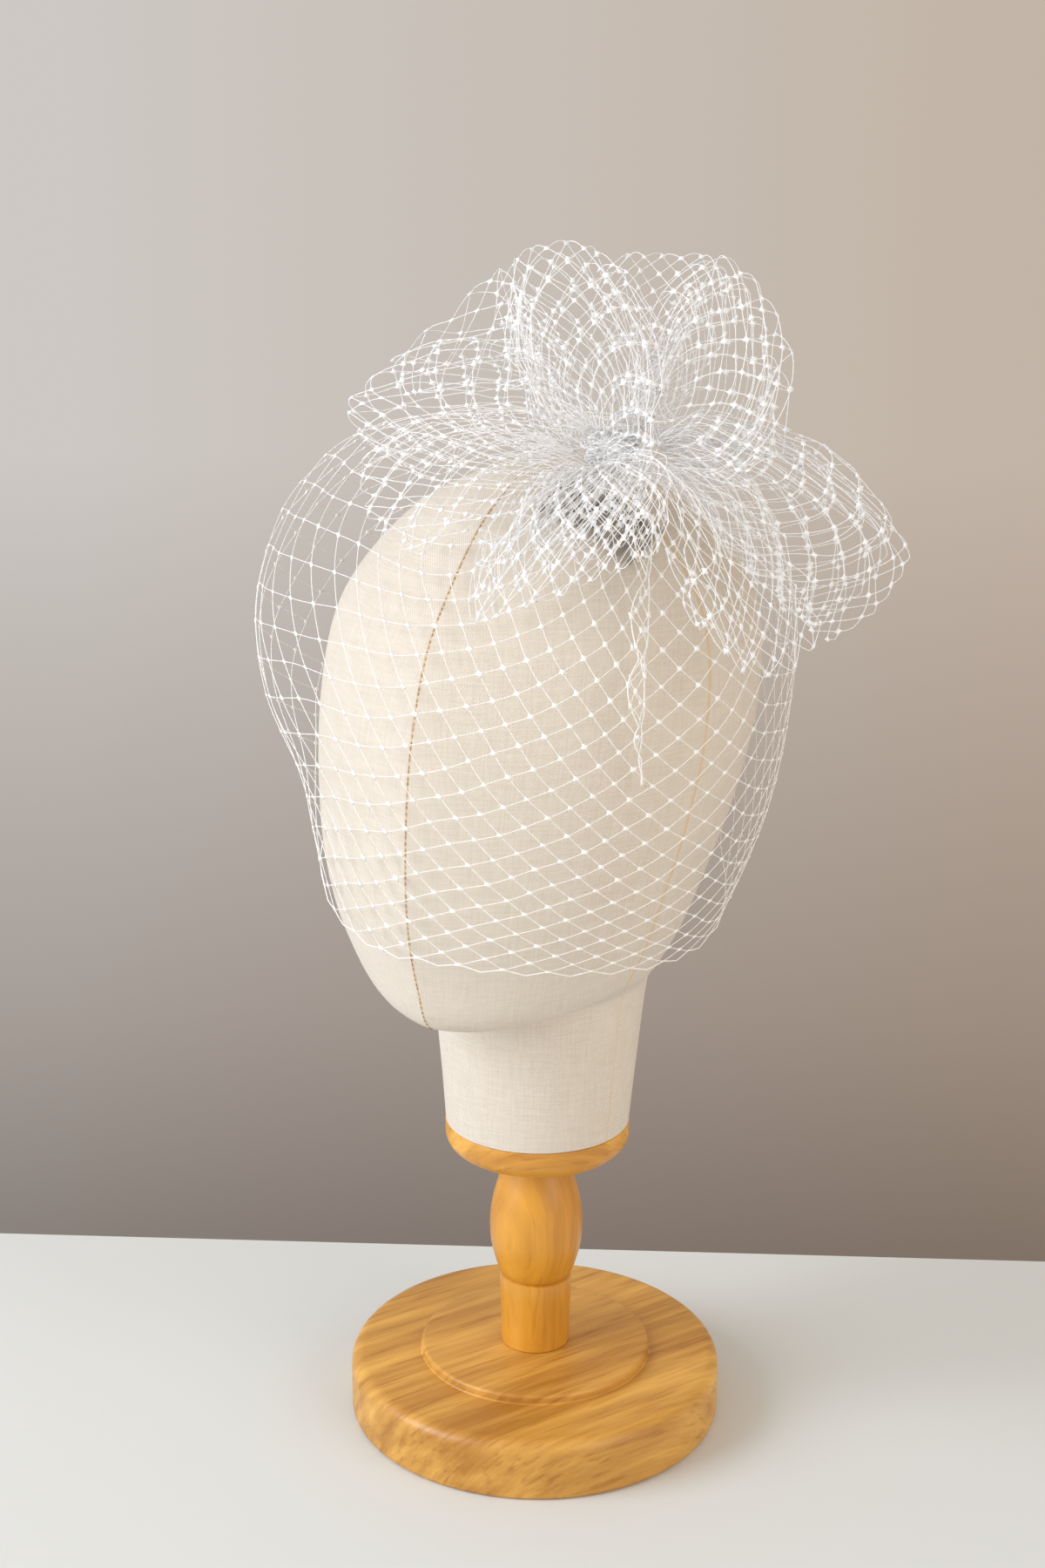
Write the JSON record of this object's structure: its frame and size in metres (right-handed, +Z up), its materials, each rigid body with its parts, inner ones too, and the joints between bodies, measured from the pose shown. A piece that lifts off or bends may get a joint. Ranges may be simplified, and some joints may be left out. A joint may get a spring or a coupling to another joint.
{
  "type": "birdcage bridal veil on a linen head form with a wooden stand",
  "caption": "Short bridal veil of open diamond net, gathered into a rosette of net loops on a comb and worn over the face of a plain linen head form on a turned wooden stand.",
  "frame": {"origin": "centre of the wooden base's underside, where the stand rests", "axes": "+Z up along the stand's post; the face of the head form looks along -Y, so the wearer's left is +X"},
  "size_m": [0.2626, 0.2177, 0.4985],
  "materials": {
    "net": "open diamond net of white satin yarn with small knots",
    "comb": "dark grey metal wire",
    "linen": "plain woven natural linen",
    "wood": "honey varnish, satin"
  },
  "bodies": {
    "root": {"veil_front": "net", "veil_back": "net", "loop_top": "net", "loop_top_left": "net", "loop_back_left": "net", "loop_back_right": "net", "loop_right": "net", "loop_brow": "net", "loop_left": "net", "loop_temple": "net", "loop_forehead": "net", "gather_knot": "net", "comb": "comb", "head_form": "linen", "stand_base": "wood", "stand_post": "wood", "stand_collar": "wood"}
  },
  "joints": []
}
